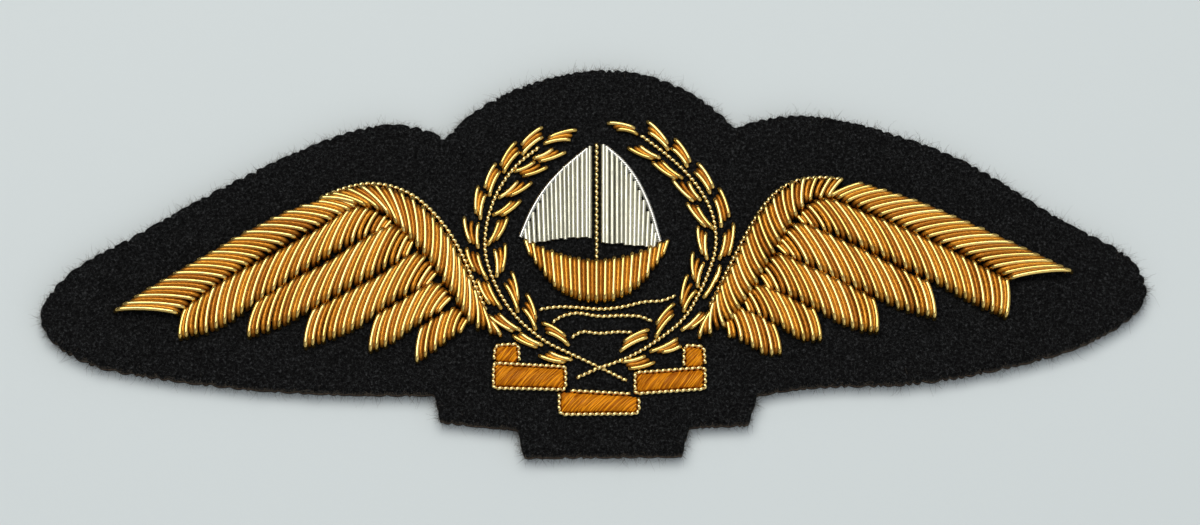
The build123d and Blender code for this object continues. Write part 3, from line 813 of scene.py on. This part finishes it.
def corners(node):
    """The four corners of a satin block: where its four long sides would meet."""
    points = np.concatenate([s[0] for s in islands(node)])
    foot = points[points[:, 2] < points[:, 2].min() + 1e-6][:, :2]
    centre = foot.mean(0)
    foot = foot[np.argsort(np.arctan2(*(foot - centre).T[::-1]))]
    step = np.roll(foot, -1, axis=0) - foot
    longest = np.sort(np.argsort(-np.linalg.norm(step, axis=1))[:4])
    found = []
    for a, b in zip(longest, np.roll(longest, -1)):
        t = np.linalg.solve(np.column_stack([step[a], -step[b]]), foot[b] - foot[a])
        found.append(foot[a] + t[0] * step[a])
    found = np.array(found)
    lowest_left = np.argmin(found @ np.array([1.0, 1.0]))
    return np.roll(found, -lowest_left, axis=0)


def on_block(quad, s, t):
    """A place on a block from its shares along and across."""
    s, t = s[..., None], t[..., None]
    return (1 - s) * (1 - t) * quad[0] + s * (1 - t) * quad[1] + s * t * quad[2] + (1 - s) * t * quad[3]


def crown(s, t, proportion):
    """Relative height of the stuffed block: rounded over its edges, almost flat in the middle."""
    across = np.clip(1 - np.abs(2 * t - 1) ** 2.4, 0, 1)
    along = np.clip(1 - np.abs(2 * s - 1) ** (2.6 * proportion), 0, 1)
    return np.sqrt(across) * along ** 0.35


def covered(node):
    """The corners of a block with the silk's reach past it, and its packed length and width."""
    quad = corners(node)
    length = np.linalg.norm(quad[1] - quad[0])
    width = np.linalg.norm(quad[3] - quad[0])
    past_end, past_side = SILK_OVER / length, SILK_OVER / width
    quad = on_block(
        quad,
        np.array([-past_end, 1 + past_end, 1 + past_end, -past_end]),
        np.array([-past_side, -past_side, 1 + past_side, 1 + past_side]))
    return quad, length, width


def silk_core(node):
    """The stuffed core of a block: a crowned top, upright walls and a flat foot."""
    quad, length, width = covered(node)
    s, t = np.meshgrid(np.linspace(0, 1, 41), np.linspace(0, 1, 21), indexing="ij")
    xy = on_block(quad, s, t)
    z = FELT_TOP + 0.02 * MM + 0.80 * SILK_HEIGHT * crown(s, t, max(1.0, length / width))
    index = np.arange(s.size).reshape(s.shape)
    top = np.stack([index[:-1, :-1], index[1:, :-1], index[1:, 1:], index[:-1, 1:]], axis=-1).reshape(-1, 4)
    rim = np.concatenate([index[:, 0], index[-1, 1:], index[-2::-1, -1], index[0, -2:0:-1]])
    foot = np.column_stack([xy.reshape(-1, 2)[rim], np.full(len(rim), FELT_TOP)])
    below = s.size + np.arange(len(rim))
    walls = np.stack([rim, below, np.roll(below, -1), np.roll(rim, -1)], axis=-1)
    core = Builder()
    # The core is given a dark silk tone: painted shade in the gaps between the threads.
    core.add(np.concatenate([np.dstack([xy, z]).reshape(-1, 3), foot]), [top, walls, below[::-1]], tone=0.1)
    return core.build(node + "_core", [SATIN_SILK])


def silk_threads(node, seed):
    """The silk threads laid slantwise over a block, in two layers."""
    quad, length, width = covered(node)
    proportion = max(1.0, length / width)
    rng = np.random.default_rng(seed)
    threads = Builder()
    lean = width / math.tan(THREAD_ANGLE) / length
    spacing = THREAD_PITCH / math.sin(THREAD_ANGLE) / length
    for layer in range(2):
        for first in np.arange(-lean, 1.0, spacing):
            first += rng.uniform(-0.4, 0.4) * spacing
            slope = lean * rng.uniform(0.80, 1.25)
            low = max(0.0, -first / slope)
            high = min(1.0, (1.0 - first) / slope)
            if high - low < SHORTEST_THREAD:
                continue
            across = np.linspace(low, high, 15)
            share = first + slope * across + 0.25 * spacing * np.sin(across * 5 + rng.uniform(0, 6))
            share = np.clip(share, 0.0, 1.0)
            radius = rng.uniform(*THREAD_RADIUS) * MM
            lift = FELT_TOP + radius + (0.74 + 0.06 * layer) * SILK_HEIGHT * crown(share, across, proportion)
            lift = np.minimum(lift + rng.uniform(-0.02, 0.02) * MM, FELT_TOP + SILK_HEIGHT - radius)
            points = np.column_stack([on_block(quad, share, across), lift])
            tangents, normals = carried_frames(points, False)
            reach = np.full((len(points), 6), radius)
            reach[[0, -1]] *= 0.6
            sweep(threads, points, tangents, normals, reach, rng.random() ** 1.4)
    return threads.build(node + "_threads", [SATIN_SILK])


# ---------------------------------------------------------------- padding

def padding_piece(node):
    """Two layers of felt sewn down together, their edges rounded over."""
    copy = bpy.data.objects.new(node + "_felt", NODES[node].data.copy())
    bpy.context.scene.collection.objects.link(copy)
    remesh = copy.modifiers.new("joined", "REMESH")
    remesh.mode = "VOXEL"
    remesh.voxel_size = 0.17 * MM
    rounded = copy.modifiers.new("rounded", "SMOOTH")
    rounded.iterations = 8
    rounded.factor = 0.5
    mesh = bpy.data.meshes.new_from_object(copy.evaluated_get(bpy.context.evaluated_depsgraph_get()))
    copy.modifiers.clear()
    mesh.materials.clear()
    mesh.materials.append(PADDING)
    mesh.polygons.foreach_set("use_smooth", np.full(len(mesh.polygons), True))
    copy.data = mesh
    return copy


# ---------------------------------------------------------------- the pieces

WINGS = ("left", "right")
STRIPS = ("leading_feather", "feather_2", "feather_3", "feather_4", "feather_5", "feather_6", "shoulder")
BLOCKS = ("left_bar", "left_upright", "centre_bar", "right_bar", "right_upright")

# How cut purl is laid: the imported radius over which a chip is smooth, how much chips are swollen, how far
# they may reach past their packed ends, and how flat they lie between those ends.
WING_PURL = (0.295 * MM, 1.06, 0.22 * MM, 6)
SHOULDER_PURL = (0.295 * MM, 1.06, 0.34 * MM, 6)
LEAF_PURL = (0.245 * MM, 1.20, 0.14 * MM, 4)
SAIL_PURL = (0.0, 1.22, 0.40 * MM, 1)

# How wire is laid: the length of a bead or twist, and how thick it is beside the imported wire.
EDGE_BEADS = (0.77 * MM, 1.10)
MAST_BEADS = (0.80 * MM, 1.10)
STEM_BEADS = (0.74 * MM, 0.88)
BORDER_BEADS = (0.76 * MM, 0.88)
WAVE_BEADS = (0.76 * MM, 1.10)
SAIL_TWIST = (0.9 * MM, 1.5)

PURL_SEED, EDGE_SEED, FELT_SEED, BUCKRAM_SEED, BACKING_SEED, SILK_SEED = 101, 41, 42, 43, 44, 61


def keep(obj, slot_name, *nodes):
    """Attaches a piece to the root body and hides the nodes that it stands for; its slot_name is not used."""
    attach(obj, "root")
    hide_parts(*nodes)
    return obj


laid = {f"{wing}_{strip}_purl": WING_PURL for wing in WINGS for strip in STRIPS}
laid.update({f"{wing}_shoulder_purl": SHOULDER_PURL for wing in WINGS})
laid["hull_purl"] = WING_PURL
laid.update({f"{wing}_{side}_leaves": LEAF_PURL for wing in WINGS for side in ("outer", "inner")})
laid.update({sail: SAIL_PURL for sail in ("jib", "mainsail")})
for seed, (node, how) in enumerate(laid.items(), PURL_SEED):
    if how is SAIL_PURL:
        keep(purl_piece(node, seed, [SILVER_PURL], *how), "silver_purl", node)
    else:
        keep(purl_piece(node, seed, [GOLD_SMOOTH, GOLD_CHECK], *how), "gold_purl", node)

beaded = {f"{wing}_wing_edge": EDGE_BEADS for wing in WINGS}
beaded["mast"] = MAST_BEADS
beaded.update({f"{wing}_wreath_stem": STEM_BEADS for wing in WINGS})
beaded.update({f"{place}_scroll_border": BORDER_BEADS for place in ("left", "centre", "right")})
beaded.update({f"wave_{number}": WAVE_BEADS for number in (1, 2, 3)})
for node, how in beaded.items():
    keep(wire_piece(node, pearl_wire, *how, [GOLD_PEARL]), "pearl_purl", node)
keep(wire_piece("sail_edging", twisted_wire, *SAIL_TWIST, [SILVER_TWIST]), "silver_twist", "sail_edging")

cut_out = top_loop("felt_ground")
outline, along = even_loop(cut_out, 0.30 * MM)
rng = np.random.default_rng(EDGE_SEED)
edge = snipped(outline, along, rng)
felt = keep(
    cloth("felt_ground_wool", edge, FELT_EDGE, 0.55 * MM, 0.05 * MM, [FELT], FELT_SEED),
    "black_felt", "felt_ground")
buckram = keep(
    cloth("buckram_interlining_weave", edge, BUCKRAM_EDGE, 2.0 * MM, 0.0, [BUCKRAM], BUCKRAM_SEED),
    "buckram", "buckram_interlining")
backing = keep(
    cloth("backing_cloth_weave", edge, BACKING_EDGE, 2.0 * MM, 0.0, [BACKING], BACKING_SEED),
    "backing_cotton", "backing_cloth")

halves = ((-1.0, 0.0), (0.0, 1.0))
fuzz = [
    keep(face_fuzz(f"felt_fuzz_{number}", edge, low_x, high_x, rng), "black_felt")
    for number, (low_x, high_x) in enumerate(halves, 1)]
fuzz.append(keep(edge_fuzz("felt_edge_fuzz", edge, rng), "black_felt"))

for seed, block in enumerate(BLOCKS, SILK_SEED):
    node = f"scroll_{block}"
    keep(silk_core(node), "satin_silk", node)
    keep(silk_threads(node, seed), "satin_silk", node)

for node in sorted(NODES):
    if node.endswith("_padding"):
        keep(padding_piece(node), "padding_felt", node)
